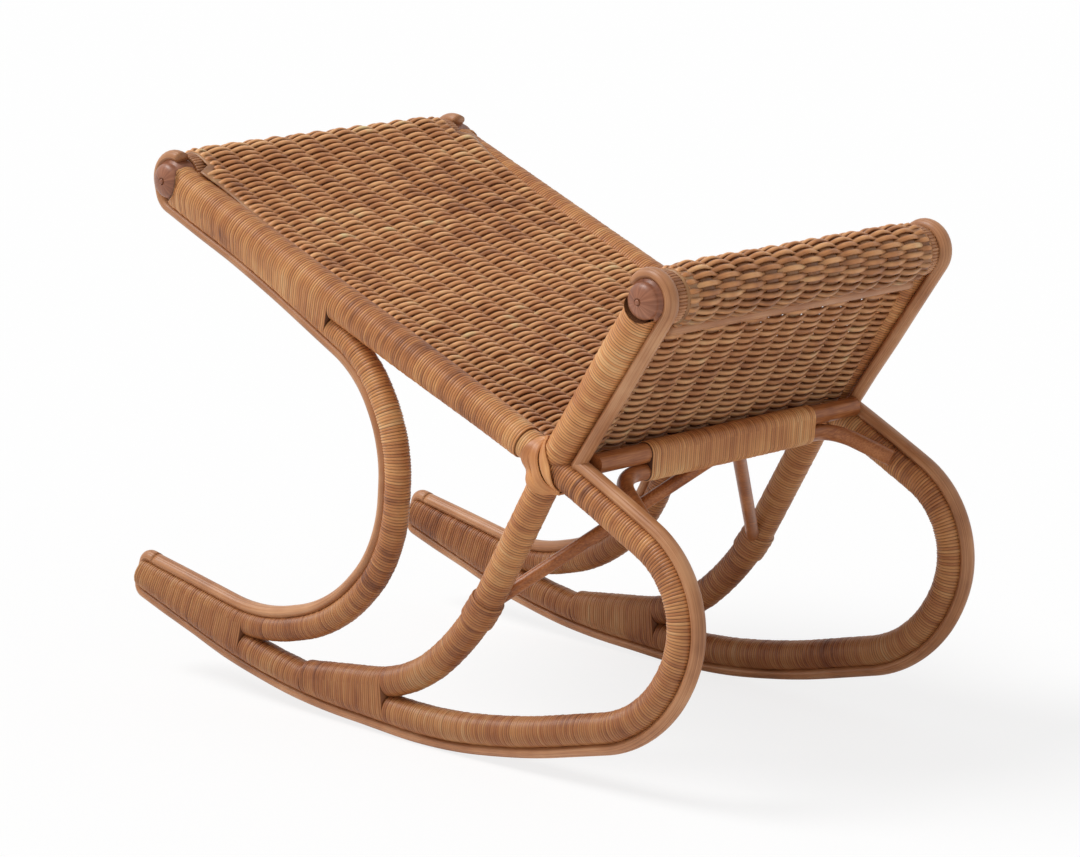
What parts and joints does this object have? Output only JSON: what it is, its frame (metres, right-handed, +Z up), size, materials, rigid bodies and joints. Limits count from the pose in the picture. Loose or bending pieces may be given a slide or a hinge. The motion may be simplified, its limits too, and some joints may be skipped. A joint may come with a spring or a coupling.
{
  "type": "rocking footstool",
  "caption": "Rattan rocking footstool: bent cane-wrapped side frames on rockers carry a sloping woven leg panel and a woven footboard that meet in a vee.",
  "frame": {"origin": "on the floor under the middle of the stool's overall length and width", "axes": "+X from the rocker tails to the footboard and front loops, +Y to the left-hand frame, +Z up"},
  "size_m": [0.7398, 0.409, 0.517],
  "materials": {
    "wrapped_pole": "satin varnish over cane wrap",
    "bare_pole": "satin varnish over bare rattan",
    "cane_edging": "satin, smooth cane skin",
    "end_grain": "dark varnished pole",
    "weave": "matte woven core reed"
  },
  "bodies": {
    "root": {"right_side_pole": "wrapped_pole", "left_side_pole": "wrapped_pole", "right_rear_leg": "wrapped_pole", "left_rear_leg": "wrapped_pole", "right_middle_leg": "wrapped_pole", "left_middle_leg": "wrapped_pole", "right_foot_post": "wrapped_pole", "left_foot_post": "wrapped_pole", "right_rail_wrap": "wrapped_pole", "left_rail_wrap": "wrapped_pole", "right_rail_band": "wrapped_pole", "left_rail_band": "wrapped_pole", "right_post_wrap": "wrapped_pole", "left_post_wrap": "wrapped_pole", "right_tail_band": "wrapped_pole", "left_tail_band": "wrapped_pole", "right_heel_band": "wrapped_pole", "left_heel_band": "wrapped_pole", "right_vee_straps": "cane_edging", "left_vee_straps": "cane_edging", "right_lower_edging": "cane_edging", "left_lower_edging": "cane_edging", "right_rear_edging": "cane_edging", "left_rear_edging": "cane_edging", "right_foot_edging": "cane_edging", "left_foot_edging": "cane_edging", "rear_cross_rail": "end_grain", "foot_cross_rail": "end_grain", "vee_cross_rail": "bare_pole", "bow_brace": "bare_pole", "vee_band": "wrapped_pole", "right_strut": "bare_pole", "left_strut": "bare_pole", "right_strut_tie": "wrapped_pole", "left_strut_tie": "wrapped_pole", "right_collars": "cane_edging", "left_collars": "cane_edging", "leg_weave": "weave", "foot_weave": "weave", "foot_roll_bead": "cane_edging"}
  },
  "joints": []
}
